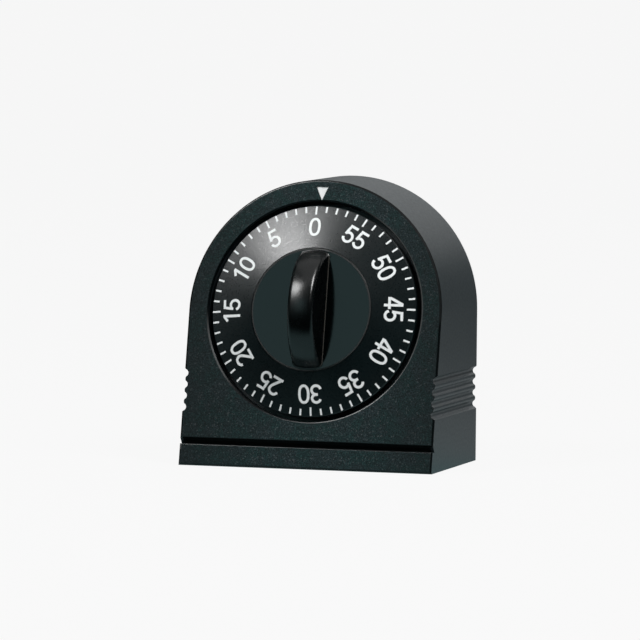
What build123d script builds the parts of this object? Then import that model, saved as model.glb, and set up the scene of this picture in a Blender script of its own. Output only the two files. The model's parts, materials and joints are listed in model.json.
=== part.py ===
from build123d import *
from math import acos, atan2, cos, degrees, hypot, radians, sin, sqrt, tan
import os

# Wind-up kitchen timer, in millimetres.
# X is to the right seen from the front, Y to the back and Z up. The origin is the centre of the base.
# The dial and the movement sit square to the leaning front: their heights are counted out from the face
# along the dial's axis, so what lies inside the case has a negative height.

# Case
case_width = 70.0
case_depth = 44.1
dial_height = 41.5
arch_drop = 0.5
face_tilt_angle = 11.4
side_wall = 2.6
face_wall = 2.4
front_edge_round = 0.6
rear_edge_chamfer = 0.4

# Dial opening and the well behind it
bezel_width = 5.6
opening_round = 0.6
well_depth = 4.6
well_wall = 1.6
well_floor = 1.8
hub_gap = 0.6

# Finger ribs on both sides
rib_band_height = 19.8
rib_valley_count = 4
rib_pitch = 2.97
rib_valley_depth = 1.15
rib_ridge_drop = 0.4
rib_ridge_width = 1.2
rib_ridge_crown = 0.2
rib_lead = 0.4

# Groove across the foot of the front
groove_height = 6.6
groove_opening = 1.7
groove_depth = 1.9
groove_floor = 0.25
groove_lip_round = 0.3
groove_backing = 1.5

# White pointer let into the face over the dial
pointer_width = 3.4
pointer_margin = 1.05
pointer_land = 0.25
pointer_sink = 0.25
pointer_thickness = 0.9
pointer_gap = 0.03

# Rear cover
cover_thickness = 2.0
cover_ledge = 1.85
cover_gap = 0.12
cover_rim_wall = 1.2
cover_rim_height = 2.5
slot_count = 7
slot_width = 2.0
slot_pitch = 4.2
slot_field_radius = 17.0

# Cover screws and their bosses
boss_radius = 3.0
low_boss_inset = 5.4
low_boss_height = 5.0
high_boss_inset = 4.8
high_boss_angle = 65.0
cover_head_radius = 2.2
cover_head_height = 1.1
cover_head_sink = 1.2
cover_shank_radius = 1.1
cover_shank_length = 9.0
screw_gap = 0.06
head_gap = 0.3
hole_spare = 0.8

# Numeral dial
dial_gap = 1.15
numeral_ring_width = 11.7
dial_rim_height = 0.3
dial_rim_bevel = 0.2
dial_disc_height = 3.0
dial_rim_depth = 1.9
dial_shell = 1.4
dial_seat_depth = 1.4

# Knob: a half-moon grip, crowned across, on a flat disc
disc_gap = 0.1
grip_foot_width = 8.1
grip_draft_share = 0.05
grip_height = 10.95
grip_crown = 0.55
grip_end_gap = 0.85
grip_edge_round = 1.4
grip_foot_round = 0.3
disc_edge_round = 0.2
hub_radius = 4.5
hub_depth = 4.2
bore_gap = 0.05
shaft_flat_share = 0.6

# Movement frame
plate_stand = 1.6
plate_thickness = 1.0
plate_space = 12.0
plate_half_width = 22.5
plate_top = 20.5
plate_bottom = 31.0
plate_corner = 5.0
pillar_side = 19.5
pillar_top = 17.0
pillar_bottom = 27.6
pillar_radius = 1.8
tenon_radius = 1.1
ear_radius = 3.0
ear_reach = 4.0
ear_low = 12.0
ear_top = 25.5
movement_boss_radius = 2.6
movement_head_radius = 2.0
movement_head_height = 1.2
movement_shank_radius = 0.9
movement_shank_length = 3.6

# Fits: a shaft in its hole, a piece pressed on its shaft
running_gap = 0.04
seat_gap = 0.02
end_shake = 0.15

# Main arbor and what it carries, placed behind the front plate
shaft_radius = 2.0
shaft_top = 0.4
seat_radius = 2.6
core_radius = 3.2
rear_shoulder_radius = 1.8
rear_pivot_radius = 1.2
pivot_reach = 0.6
cam_radius = 6.5
cam_thickness = 1.0
cam_drop = 0.9
cam_notch_depth = 2.0
cam_notch_angle = 36.0
main_wheel_drop = 2.6
wheel_thickness = 1.0
washer_thickness = 0.3
washer_radius = 5.2
spring_width = 5.2
spring_thickness = 0.4
spring_pitch = 1.6
spring_half_turn_count = 8
spring_gap = 0.15
spring_post_radius = 1.2
spring_stud_radius = 0.9
core_length = 5.7

# Going train: cycloidal wheels that drive small pinions
main_teeth = 48
second_teeth = 36
third_teeth = 36
pinion_leaves = 6
main_module = 0.7
second_module = 0.6
third_module = 0.55
second_angle = 243.0
third_angle = -20.0
escape_angle = 35.0
wheel_tooth_share = 0.46
wheel_addendum_share = 1.2
wheel_dedendum_share = 1.2
leaf_share = 0.34
leaf_addendum_share = 0.5
leaf_dedendum_share = 1.55
leaf_tip_share = 0.45
arbor_radius = 0.75
pivot_radius = 0.45
train_wheel_thickness = 0.8
pinion_overhang = 0.7
second_wheel_rise = 1.0
third_wheel_drop = 6.0

# Escapement: pointed wheel, two pins on a rocking lever, and a swinging bar
escape_teeth = 15
escape_tip_radius = 6.5
escape_root_radius = 4.9
point_tip_width = 0.16
point_root_share = 0.55
escape_drop = 8.6
pallet_angle = 45.0
pallet_half_span_angle = 42.0
pallet_pin_radius = 0.3
pallet_pin_gap = 0.1
pallet_arm_width = 1.4
pallet_gap = 0.3
balance_length = 12.0
balance_width = 2.2
balance_thickness = 1.2
balance_drop = 4.7

# Strike: star wheel, hammer and the lever that the cam holds off
strike_teeth = 15
strike_tip_radius = 5.0
strike_root_radius = 3.8
strike_drop = 7.8
hammer_side = 20.5
hammer_low = 10.5
hammer_pivot_radius = 0.8
hammer_body_radius = 1.1
tail_gap = 0.35
tail_width = 1.4
tail_tip_radius = 0.4
finger_length = 3.8
finger_width = 1.6
hammer_arm_width = 1.8
hammer_arm_thickness = 1.0
hammer_arm_gap = 0.5
hammer_head_radius = 2.0
hammer_head_length = 3.6
hammer_strike_gap = 0.8
leaf_spring_thickness = 0.3
leaf_spring_width = 1.6
leaf_spring_gap = 0.6
lever_pivot_side = 6.5
lever_pivot_high = 11.0
lever_elbow_side = 12.6
lever_foot_side = 17.5
lever_foot_gap = 0.5
lever_width = 1.6
lever_thickness = 0.8
lever_nose_gap = 0.1
stud_radius = 1.0
stud_head_radius = 1.6
stud_head_height = 0.35

# Bell on its post behind the movement
bell_side = 5.0
bell_high = 4.0
bell_radius = 18.0
bell_crown_radius = 12.5
bell_skirt = 3.5
bell_rise = 2.0
bell_wall = 0.9
bell_gap = 1.8
bell_post_radius = 2.4
bell_stud_radius = 1.2
bell_stud_spare = 0.4
bell_nut_width = 5.0
bell_nut_height = 1.4

# One overrun for every cut
overrun = 1.0

# Places worked out from the sizes above
tilt = radians(face_tilt_angle)
arch_height = dial_height - arch_drop
opening_radius = case_width / 2 - bezel_width
dial_radius = opening_radius - dial_gap
dial_disc_radius = dial_radius - numeral_ring_width
low_boss_side = case_width / 2 - low_boss_inset
high_boss_radius = case_width / 2 - high_boss_inset
ear_side = plate_half_width + ear_reach
dial_y = dial_height * tan(tilt) - case_depth / 2
face = Plane(origin=(0, dial_y, dial_height), x_dir=(1, 0, 0), z_dir=(0, -cos(tilt), sin(tilt)))
cover_front = case_depth / 2 - cover_thickness
well_back = -well_depth - well_floor
front_plate_front = well_back - plate_stand
front_plate_back = front_plate_front - plate_thickness
back_plate_front = front_plate_back - plate_space
back_plate_back = back_plate_front - plate_thickness
cam_front = front_plate_back - cam_drop
main_wheel_front = front_plate_back - main_wheel_drop
main_wheel_back = main_wheel_front - wheel_thickness
core_front = main_wheel_back - washer_thickness
core_back = core_front - core_length
third_wheel_front = front_plate_back - third_wheel_drop
second_wheel_back = back_plate_front + second_wheel_rise
second_wheel_front = second_wheel_back + train_wheel_thickness
escape_front = front_plate_back - escape_drop
escape_back = escape_front - train_wheel_thickness
strike_front = front_plate_back - strike_drop
strike_back = strike_front - train_wheel_thickness
lever_front = cam_front
lever_back = lever_front - lever_thickness


def polar(radius, angle):
    return (radius * cos(radians(angle)), radius * sin(radians(angle)))


def beyond(start, radius, angle):
    step = polar(radius, angle)
    return (start[0] + step[0], start[1] + step[1])


def angle_of(start, end):
    return degrees(atan2(end[1] - start[1], end[0] - start[0]))


def distance(start, end):
    return hypot(end[0] - start[0], end[1] - start[1])


# Shafts of the movement, as places on the face
main_at = (0, 0)
second_at = beyond(main_at, main_module * (main_teeth + pinion_leaves) / 2, second_angle)
third_at = beyond(second_at, second_module * (second_teeth + pinion_leaves) / 2, third_angle)
escape_at = beyond(third_at, third_module * (third_teeth + pinion_leaves) / 2, escape_angle)
pallet_pin_circle = escape_tip_radius + pallet_pin_radius + pallet_pin_gap
pallet_reach = pallet_pin_circle / cos(radians(pallet_half_span_angle))
pallet_at = beyond(escape_at, pallet_reach, pallet_angle)
hammer_at = (-hammer_side, -hammer_low)
lever_at = (-lever_pivot_side, lever_pivot_high)
lever_foot_low = hammer_low + finger_width / 2 + lever_foot_gap + lever_width / 2
bell_at = (bell_side, bell_high)
pillar_places = [(side * pillar_side, high) for side in (-1, 1) for high in (pillar_top, -pillar_bottom)]
ear_places = [(-ear_side, -ear_low), (ear_side, -ear_low), (0, ear_top)]
high_boss = polar(high_boss_radius, high_boss_angle)
boss_places = [(side * low_boss_side, low_boss_height) for side in (-1, 1)]
boss_places += [(side * high_boss[0], arch_height + high_boss[1]) for side in (-1, 1)]


# Shapes that many pieces share
def rod(radius, front, back, at=(0, 0)):
    place = Pos(at[0], at[1], back)
    return place * Cylinder(radius, front - back, align=(Align.CENTER, Align.CENTER, Align.MIN))


def turned(at, front, *steps):
    """Round bar that starts at the front height and runs back through (radius, end height) steps."""
    points = [(0, 0, front)]
    level = front
    for radius, end in steps:
        points += [(radius, 0, level), (radius, 0, end)]
        level = end
    points.append((0, 0, level))
    return Pos(at[0], at[1]) * revolve(make_face(Polyline(*points, close=True)), Axis.Z)


def slab(outline, front, back):
    return extrude(Pos(0, 0, back) * outline, front - back, dir=(0, 0, 1))


def polygon(points):
    return make_face(Polyline(*points, close=True))


def bar(start, end, width, front, back):
    """Flat bar with round ends, centred on two places."""
    middle = ((start[0] + end[0]) / 2, (start[1] + end[1]) / 2)
    outline = SlotCenterToCenter(distance(start, end), width, rotation=angle_of(start, end))
    return slab(Pos(*middle) * outline, front, back)


def lying(radius, start, end, x, z):
    """Round bar along Y."""
    return Pos(x, start, z) * Rot(-90, 0, 0) * Cylinder(
        radius, end - start, align=(Align.CENTER, Align.CENTER, Align.MIN)
    )


def arch(inset):
    """Front outline of the case, drawn in by an inset."""
    half = case_width / 2 - inset
    sides = Polyline((-half, arch_height), (-half, inset), (half, inset), (half, arch_height))
    top = ThreePointArc((half, arch_height), (0, arch_height + half), (-half, arch_height))
    return Plane.XZ * make_face(sides + top)


def arch_block(inset, start, end):
    return extrude(Pos(0, start, 0) * arch(inset), end - start, dir=(0, 1, 0))


# Case pieces
def leaning_block(inset, wall, end):
    """Arch that ends in front at the leaning face, or a wall behind it."""
    block = arch_block(inset, -case_depth / 2 - overrun, end)
    return split(block, bisect_by=face.offset(-wall), keep=Keep.BOTTOM)


def rib_cut(side):
    """Band of round valleys and ridges that runs front to back, as the shape that is cut away."""
    skin = side * case_width / 2
    outside = side * (case_width / 2 + overrun)
    valley = side * (case_width / 2 - rib_valley_depth)
    crest = side * (case_width / 2 - rib_ridge_drop)
    lip = side * (case_width / 2 - rib_ridge_drop - rib_ridge_crown)
    half = (rib_pitch - rib_ridge_width) / 2
    first = rib_band_height - rib_pitch * (rib_valley_count - 1) / 2
    low = first - half - rib_lead
    high = first + rib_pitch * (rib_valley_count - 1) + half + rib_lead
    rim = [(lip, high - rib_lead), (skin, high), (outside, high)]
    rim += [(outside, low), (skin, low), (lip, low + rib_lead)]
    edges = [Polyline(*rim)]
    for number in range(rib_valley_count):
        middle = first + rib_pitch * number
        edges.append(ThreePointArc((lip, middle - half), (valley, middle), (lip, middle + half)))
        if number:
            ridge = middle - rib_pitch / 2
            below = ridge - rib_ridge_width / 2
            above = ridge + rib_ridge_width / 2
            edges.append(ThreePointArc((lip, below), (crest, ridge), (lip, above)))
    return extrude(Plane.XZ * make_face(edges), case_depth / 2 + overrun, dir=(0, 1, 0), both=True)


def groove_cut():
    """Channel with rounded lips, square below and sloped above, as the shape that is cut away."""
    middle = (groove_height - dial_height) / cos(tilt)
    low, high = middle - groove_opening / 2, middle + groove_opening / 2
    low_edge, high_edge = low - groove_lip_round, high + groove_lip_round
    turn = -groove_lip_round
    channel = [(0, low, turn), (0, low, -groove_depth)]
    channel += [(0, low + groove_floor, -groove_depth), (0, high, turn)]
    outside = [(0, low_edge, 0), (0, low_edge, overrun), (0, high_edge, overrun), (0, high_edge, 0)]
    edges = [Polyline(*channel), Polyline(*outside)]
    edges.append(TangentArc((0, low, turn), (0, low_edge, 0), tangent=(0, 0, 1)))
    edges.append(TangentArc((0, high, turn), (0, high_edge, 0), tangent=(0, 0, 1)))
    return extrude(make_face(edges), case_width / 2 + overrun, dir=(1, 0, 0), both=True)


def groove_backing_bar():
    middle = (groove_height - dial_height) / cos(tilt)
    depth = groove_depth + groove_backing
    place = Pos(0, middle, -face_wall / 2)
    return place * Box(
        case_width - side_wall,
        groove_opening + 2 * groove_backing,
        depth - face_wall / 2,
        align=(Align.CENTER, Align.CENTER, Align.MAX),
    )


def opening_cut():
    """Dial opening with its rounded edge and the well, as the shape that is cut away."""
    edge = opening_radius + opening_round
    wall = [(edge, 0, 0), (edge, 0, overrun), (0, 0, overrun), (0, 0, -well_depth)]
    wall += [(opening_radius, 0, -well_depth), (opening_radius, 0, -opening_round)]
    lip = TangentArc((opening_radius, 0, -opening_round), (edge, 0, 0), tangent=(0, 0, 1))
    return revolve(make_face(Polyline(*wall) + lip), Axis.Z)


def pointer_outline():
    half = pointer_width / 2
    top = case_width / 2 - arch_drop - pointer_margin
    tip = opening_radius + pointer_land
    return polygon([(-half, top), (half, top), (0, tip)])


def front_housing():
    block = leaning_block(0, 0, case_depth / 2)
    front_edges = block.edges().filter_by(lambda edge: abs(face.to_local_coords(edge @ 0.5).Z) < seat_gap)
    block = fillet(front_edges, front_edge_round)
    rear_edges = block.edges().group_by(Axis.Y)[-1]
    shell = chamfer(rear_edges, rear_edge_chamfer)
    shell -= leaning_block(side_wall, face_wall, case_depth / 2 + overrun)
    shell -= arch_block(cover_ledge, cover_front, case_depth / 2 + overrun)
    for x, z in boss_places:
        shell += lying(boss_radius, -case_depth / 2, cover_front, x, z) & block
    shell += face * rod(opening_radius + well_wall, -face_wall / 2, well_back)
    for place in ear_places:
        shell += face * rod(movement_boss_radius, -well_depth, front_plate_front, place)
    shell += face * groove_backing_bar() & block
    shell -= face * opening_cut()
    shell -= face * rod(hub_radius + hub_gap, 0, well_back - overrun)
    shell -= face * slab(pointer_outline(), overrun, -pointer_sink - pointer_thickness)
    shell -= face * groove_cut()
    for side in (-1, 1):
        shell -= rib_cut(side)
    depth = cover_shank_length - cover_thickness + hole_spare
    for x, z in boss_places:
        shell -= lying(cover_shank_radius + screw_gap, cover_front - depth, cover_front + overrun, x, z)
    for place in ear_places:
        bottom = front_plate_back + movement_shank_length + hole_spare / 2
        shell -= face * rod(movement_shank_radius + screw_gap, bottom, front_plate_front - overrun, place)
    return shell


def zero_pointer():
    outline = offset(pointer_outline(), -pointer_gap, kind=Kind.INTERSECTION)
    return face * slab(outline, -pointer_sink, -pointer_sink - pointer_thickness)


def rear_cover():
    inset = cover_ledge + cover_gap
    plate = arch_block(inset, cover_front, case_depth / 2)
    rim_inset = side_wall + cover_gap
    rim_front = cover_front - cover_rim_height
    rim = arch_block(rim_inset, rim_front, cover_front)
    rim -= arch_block(rim_inset + cover_rim_wall, rim_front - overrun, cover_front + overrun)
    for x, z in boss_places:
        rim -= lying(boss_radius + head_gap, rim_front - overrun, cover_front, x, z)
    plate += rim
    for number in range(slot_count):
        rise = slot_pitch * (number - (slot_count - 1) / 2)
        length = 2 * sqrt(slot_field_radius**2 - rise**2)
        slot = Plane.XZ * Pos(0, dial_height + rise) * SlotOverall(length, slot_width)
        plate -= extrude(slot, case_depth, dir=(0, 1, 0))
    sunk = case_depth / 2 - cover_head_sink
    for x, z in boss_places:
        plate -= lying(cover_shank_radius + head_gap, cover_front - overrun, case_depth / 2 + overrun, x, z)
        plate -= lying(cover_head_radius + head_gap, sunk, case_depth / 2 + overrun, x, z)
    return plate


def cover_screws():
    sunk = case_depth / 2 - cover_head_sink
    shank_end = sunk - cover_shank_length + cover_head_sink
    screws = []
    for x, z in boss_places:
        screw = lying(cover_head_radius, sunk, sunk + cover_head_height, x, z)
        screws.append(screw + lying(cover_shank_radius, shank_end, sunk, x, z))
    return Compound(children=screws)


# Dial and knob, which turn together
def numeral_dial():
    seat = dial_disc_height - dial_seat_depth
    recess = dial_disc_radius + disc_gap
    slope = (dial_disc_height - dial_rim_height) / (dial_radius - dial_disc_radius)
    lip = dial_disc_height - slope * disc_gap
    under = dial_rim_height - dial_shell
    inner = dial_radius - dial_shell
    hub = hub_radius + bore_gap
    back = dial_rim_height - dial_rim_depth
    bevel = dial_rim_height + slope * dial_rim_bevel
    points = [(hub, 0, seat), (recess, 0, seat), (recess, 0, lip), (dial_radius - dial_rim_bevel, 0, bevel)]
    points += [(dial_radius, 0, dial_rim_height - dial_rim_bevel), (dial_radius, 0, back), (inner, 0, back)]
    points += [(inner, 0, under), (recess, 0, seat - dial_shell), (hub, 0, seat - dial_shell)]
    return face * revolve(polygon(points), Axis.Z)


def grip():
    """Crowned arch over the disc, between two flat sides that draw in towards its crest."""
    foot = grip_foot_width / 2
    reach = dial_disc_radius - grip_end_gap
    top = (reach**2 + grip_height**2) / (2 * grip_height)
    rim = top - grip_crown
    flank = Polyline((-foot, rim), (-foot, 0), (foot, 0), (foot, rim))
    crown = ThreePointArc((foot, rim), (0, top), (-foot, rim))
    wheel = Pos(0, 0, dial_disc_height + grip_height - top) * revolve(make_face(flank + crown), Axis.X)
    low = dial_disc_height - dial_seat_depth / 2
    high = dial_disc_height + grip_height + overrun
    crest = foot - grip_draft_share * (high - low)
    sides = polygon([(-foot, 0, low), (foot, 0, low), (crest, 0, high), (-crest, 0, high)])
    arch_body = wheel & extrude(sides, top, dir=(0, 1, 0), both=True)
    return fillet(arch_body.edges().sort_by(Axis.Z)[-2:], grip_edge_round)


def winding_knob():
    seat = dial_disc_height - dial_seat_depth
    disc = rod(dial_disc_radius, dial_disc_height, seat)
    disc = fillet(disc.edges().group_by(Axis.Z)[-1], disc_edge_round)
    knob = disc + grip()
    flat_edges = knob.edges().filter_by(lambda edge: abs((edge @ 0.5).Z - dial_disc_height) < seat_gap)
    knob = fillet(flat_edges.sort_by(SortBy.LENGTH)[:-1], grip_foot_round)
    knob += rod(hub_radius, seat, -hub_depth)
    bore = rod(shaft_radius + bore_gap, shaft_top + bore_gap, -hub_depth - overrun)
    knob -= bore & shaft_flat(bore_gap)
    return face * knob


def shaft_flat(gap):
    """Half space, as a block, that leaves a shaft its one flat side."""
    width = 2 * shaft_radius + 2 * overrun
    length = shaft_top + hub_depth + 2 * overrun
    place = Pos(0, shaft_radius * shaft_flat_share + gap, -hub_depth - overrun)
    return place * Box(width, width, length, align=(Align.CENTER, Align.MAX, Align.MIN))


def main_arbor():
    arbor = turned(
        main_at,
        shaft_top,
        (shaft_radius, front_plate_back - end_shake),
        (seat_radius, core_front),
        (core_radius, core_back),
        (rear_shoulder_radius, back_plate_front + end_shake),
        (rear_pivot_radius, back_plate_back - pivot_reach),
    )
    end = rod(shaft_radius + overrun, shaft_top + overrun, -hub_depth)
    arbor -= end - shaft_flat(0)
    return face * arbor


def zero_cam():
    cam = rod(cam_radius, cam_front, cam_front - cam_thickness)
    cam -= rod(seat_radius + seat_gap, cam_front + overrun, cam_front - cam_thickness - overrun)
    nose = angle_of(main_at, lever_foot_point())
    edges = [nose - cam_notch_angle / 2, nose + cam_notch_angle / 2]
    floor = cam_radius - cam_notch_depth
    outside = (cam_radius + overrun) / cos(radians(cam_notch_angle / 2))
    points = [polar(floor, edges[0]), polar(outside, edges[0])]
    points += [polar(outside, edges[1]), polar(floor, edges[1])]
    cam -= slab(polygon(points), cam_front + overrun, cam_front - cam_thickness - overrun)
    return face * cam


def clutch_washer():
    washer = rod(washer_radius, main_wheel_back, core_front)
    washer -= rod(seat_radius + seat_gap, main_wheel_back + overrun, core_front - overrun)
    return face * washer


# Toothed wheels
def epicycloid_angle(pitch_radius, rolling_radius, radius):
    """How far the curve has leaned over, seen from the wheel's centre, at a radius past the pitch circle."""
    both = pitch_radius + rolling_radius
    turn = acos((both**2 + rolling_radius**2 - radius**2) / (2 * both * rolling_radius))
    start = turn * rolling_radius / pitch_radius
    across = both * cos(start) - rolling_radius * cos(start + turn)
    up = both * sin(start) - rolling_radius * sin(start + turn)
    return degrees(atan2(up, across))


def repeated(flank, count, turn):
    """Closed outline of count teeth. flank lists (radius, half angle) from root to tip of one tooth."""
    points = []
    for number in range(count):
        middle = turn + 360 * number / count
        points += [polar(radius, middle - half) for radius, half in flank]
        points += [polar(radius, middle + half) for radius, half in reversed(flank)]
    return polygon(points)


def wheel_outline(teeth, module, turn):
    """Wheel with radial flanks under the pitch circle and cycloidal ones over it."""
    pitch = module * teeth / 2
    rolling = module * pinion_leaves / 4
    tip = pitch + wheel_addendum_share * module
    half = wheel_tooth_share * 180 / teeth
    flank = [(pitch - wheel_dedendum_share * module, half), (pitch, half)]
    flank.append((tip, half - epicycloid_angle(pitch, rolling, tip)))
    return repeated(flank, teeth, turn)


def pinion_outline(module, turn):
    pitch = module * pinion_leaves / 2
    half = leaf_share * 180 / pinion_leaves
    flank = [(pitch - leaf_dedendum_share * module, half), (pitch, half)]
    flank.append((pitch + leaf_addendum_share * module, half * leaf_tip_share))
    return repeated(flank, pinion_leaves, turn)


def pointed_outline(teeth, tip_radius, root_radius, turn):
    tip_half = degrees(point_tip_width / 2 / tip_radius)
    flank = [(root_radius, point_root_share * 180 / teeth), (tip_radius, tip_half)]
    return repeated(flank, teeth, turn)


def bored_wheel(outline, at, bore, front, back):
    wheel = Pos(at[0], at[1]) * slab(outline, front, back)
    return face * (wheel - rod(bore + seat_gap, front + overrun, back - overrun, at))


def pinion_arbor(at, module, turn, wheel_front, wheel_back):
    """Shaft with its pinion cut in one piece, level with the wheel that drives it."""
    arbor = turned(
        at,
        front_plate_front + pivot_reach,
        (pivot_radius, front_plate_back - end_shake),
        (arbor_radius, back_plate_front + end_shake),
        (pivot_radius, back_plate_back - pivot_reach),
    )
    leaves = slab(pinion_outline(module, turn), wheel_front + pinion_overhang, wheel_back - pinion_overhang)
    return face * (arbor + Pos(at[0], at[1]) * leaves)


def gap_towards(mate_angle):
    """Turn that sets a gap between two pinion leaves against the wheel that drives it."""
    return mate_angle + 180 + 180 / pinion_leaves


def main_wheel():
    outline = wheel_outline(main_teeth, main_module, second_angle)
    return bored_wheel(outline, main_at, seat_radius, main_wheel_front, main_wheel_back)


def second_arbor():
    turn = gap_towards(second_angle)
    return pinion_arbor(second_at, main_module, turn, main_wheel_front, main_wheel_back)


def second_wheel():
    outline = wheel_outline(second_teeth, second_module, third_angle)
    return bored_wheel(outline, second_at, arbor_radius, second_wheel_front, second_wheel_back)


def third_arbor():
    turn = gap_towards(third_angle)
    return pinion_arbor(third_at, second_module, turn, second_wheel_front, second_wheel_back)


def third_wheel():
    outline = wheel_outline(third_teeth, third_module, escape_angle)
    back = third_wheel_front - train_wheel_thickness
    return bored_wheel(outline, third_at, arbor_radius, third_wheel_front, back)


def escape_arbor():
    turn = gap_towards(escape_angle)
    back = third_wheel_front - train_wheel_thickness
    return pinion_arbor(escape_at, third_module, turn, third_wheel_front, back)


def escape_wheel():
    """Both pins stand a quarter of a tooth off the nearest point, so the lever can rock either way."""
    turn = pallet_angle + pallet_half_span_angle + 360 / escape_teeth / 4
    outline = pointed_outline(escape_teeth, escape_tip_radius, escape_root_radius, turn)
    return bored_wheel(outline, escape_at, arbor_radius, escape_front, escape_back)


def plain_arbor(at, pivot, body):
    return turned(
        at,
        front_plate_front + pivot_reach,
        (pivot, front_plate_back - end_shake),
        (body, back_plate_front + end_shake),
        (pivot, back_plate_back - pivot_reach),
    )


# Escapement lever and its swinging bar
def pallet_arbor():
    return face * plain_arbor(pallet_at, pivot_radius, arbor_radius)


def pallet_pins():
    angles = (pallet_angle - pallet_half_span_angle, pallet_angle + pallet_half_span_angle)
    return [beyond(escape_at, pallet_pin_circle, angle) for angle in angles]


def pallet_lever():
    front = escape_back - pallet_gap
    back = front - train_wheel_thickness
    lever = rod(pallet_arm_width, front, back, pallet_at)
    for pin in pallet_pins():
        lever += bar(pallet_at, pin, pallet_arm_width, front, back)
        lever += rod(pallet_pin_radius, escape_front, back, pin)
    return face * (lever - rod(arbor_radius + seat_gap, front + overrun, back - overrun, pallet_at))


def balance_bar():
    front = front_plate_back - balance_drop
    back = front - balance_thickness
    ends = [beyond(pallet_at, balance_length / 2, pallet_angle + side * 90) for side in (-1, 1)]
    beam = bar(ends[0], ends[1], balance_width, front, back)
    return face * (beam - rod(arbor_radius + seat_gap, front + overrun, back - overrun, pallet_at))


# Strike work
def tail_point():
    """Tip of the hammer's tail, square over the star wheel and just clear of its points."""
    reach = strike_tip_radius + tail_gap + tail_tip_radius
    span = distance(hammer_at, second_at)
    lean = degrees(acos(sqrt(span**2 - reach**2) / span))
    return beyond(hammer_at, sqrt(span**2 - reach**2), angle_of(hammer_at, second_at) + lean)


def strike_wheel():
    """Stands with a gap between two points under the hammer's tail."""
    turn = angle_of(second_at, tail_point()) + 180 / strike_teeth
    outline = pointed_outline(strike_teeth, strike_tip_radius, strike_root_radius, turn)
    return bored_wheel(outline, second_at, arbor_radius, strike_front, strike_back)


def hammer_arm_back():
    return back_plate_back - hammer_arm_gap - hammer_arm_thickness


def hammer_arbor():
    return face * turned(
        hammer_at,
        front_plate_front + pivot_reach,
        (hammer_pivot_radius, front_plate_back - end_shake),
        (hammer_body_radius, back_plate_front + end_shake),
        (hammer_pivot_radius, hammer_arm_back()),
    )


def hammer_tail():
    """Bar that ends in a narrow nib over the star wheel."""
    tip = tail_point()
    run = angle_of(hammer_at, tip)
    rise = tail_width / 2 - tail_tip_radius
    end = beyond(tip, rise, run + 90)
    tail = bar(hammer_at, end, tail_width, strike_front, strike_back)
    tail += rod(hammer_body_radius + tail_width / 2, strike_front, strike_back, hammer_at)
    tail += rod(tail_tip_radius, strike_front, strike_back, tip)
    bore = rod(hammer_body_radius + seat_gap, strike_front + overrun, strike_back - overrun, hammer_at)
    return face * (tail - bore)


def hammer_finger():
    tip = (hammer_at[0] + finger_length, hammer_at[1])
    finger = bar(hammer_at, tip, finger_width, lever_front, lever_back)
    finger += rod(hammer_body_radius + tail_width / 2, lever_front, lever_back, hammer_at)
    bore = rod(hammer_body_radius + seat_gap, lever_front + overrun, lever_back - overrun, hammer_at)
    return face * (finger - bore)


def hammer_head_at():
    """Place where the arm lies along the bell's rim, so that the head strikes square."""
    reach = bell_radius + hammer_strike_gap + hammer_head_radius
    span = distance(bell_at, hammer_at)
    lean = degrees(acos(reach / span))
    return beyond(bell_at, reach, angle_of(bell_at, hammer_at) - lean)


def hammer_arm():
    back = hammer_arm_back()
    front = back + hammer_arm_thickness
    arm = bar(hammer_at, hammer_head_at(), hammer_arm_width, front, back)
    arm += rod(hammer_pivot_radius + hammer_arm_width / 2, front, back, hammer_at)
    arm -= rod(hammer_pivot_radius + seat_gap, front + overrun, back - overrun, hammer_at)
    return face * arm


def hammer_head():
    back = hammer_arm_back()
    return face * rod(hammer_head_radius, back, back - hammer_head_length, hammer_head_at())


def hammer_spring():
    """Leaf that lies along a pillar and ends over the hammer's tail."""
    left = -pillar_side + pillar_radius + seat_gap
    low = -hammer_low + tail_width / 2 + leaf_spring_gap
    points = [(left, pillar_top), (left + leaf_spring_thickness, pillar_top)]
    points += [(left + leaf_spring_thickness, low), (left, low)]
    return face * slab(polygon(points), strike_front, strike_front - leaf_spring_width)


def lever_points():
    elbow = (-lever_elbow_side, -lever_foot_low)
    foot = (-lever_foot_side, -lever_foot_low)
    return elbow, foot


def lever_foot_point():
    """Point of the lever's straight part that is nearest to the cam's centre."""
    elbow, _ = lever_points()
    run = radians(angle_of(lever_at, elbow))
    along = -(lever_at[0] * cos(run) + lever_at[1] * sin(run))
    return (lever_at[0] + along * cos(run), lever_at[1] + along * sin(run))


def release_lever():
    elbow, foot = lever_points()
    near = lever_foot_point()
    nose = polar(cam_radius + lever_nose_gap + lever_width / 2, angle_of(main_at, near))
    lever = bar(lever_at, elbow, lever_width, lever_front, lever_back)
    lever += bar(elbow, foot, lever_width, lever_front, lever_back)
    lever += bar(near, nose, lever_width, lever_front, lever_back)
    lever += rod(stud_radius + lever_width / 2, lever_front, lever_back, lever_at)
    bore = rod(stud_radius + running_gap, lever_front + overrun, lever_back - overrun, lever_at)
    return face * (lever - bore)


def lever_stud():
    head = lever_back - end_shake
    return face * turned(
        lever_at,
        front_plate_front,
        (stud_radius, head),
        (stud_head_radius, head - stud_head_height),
    )


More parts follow.
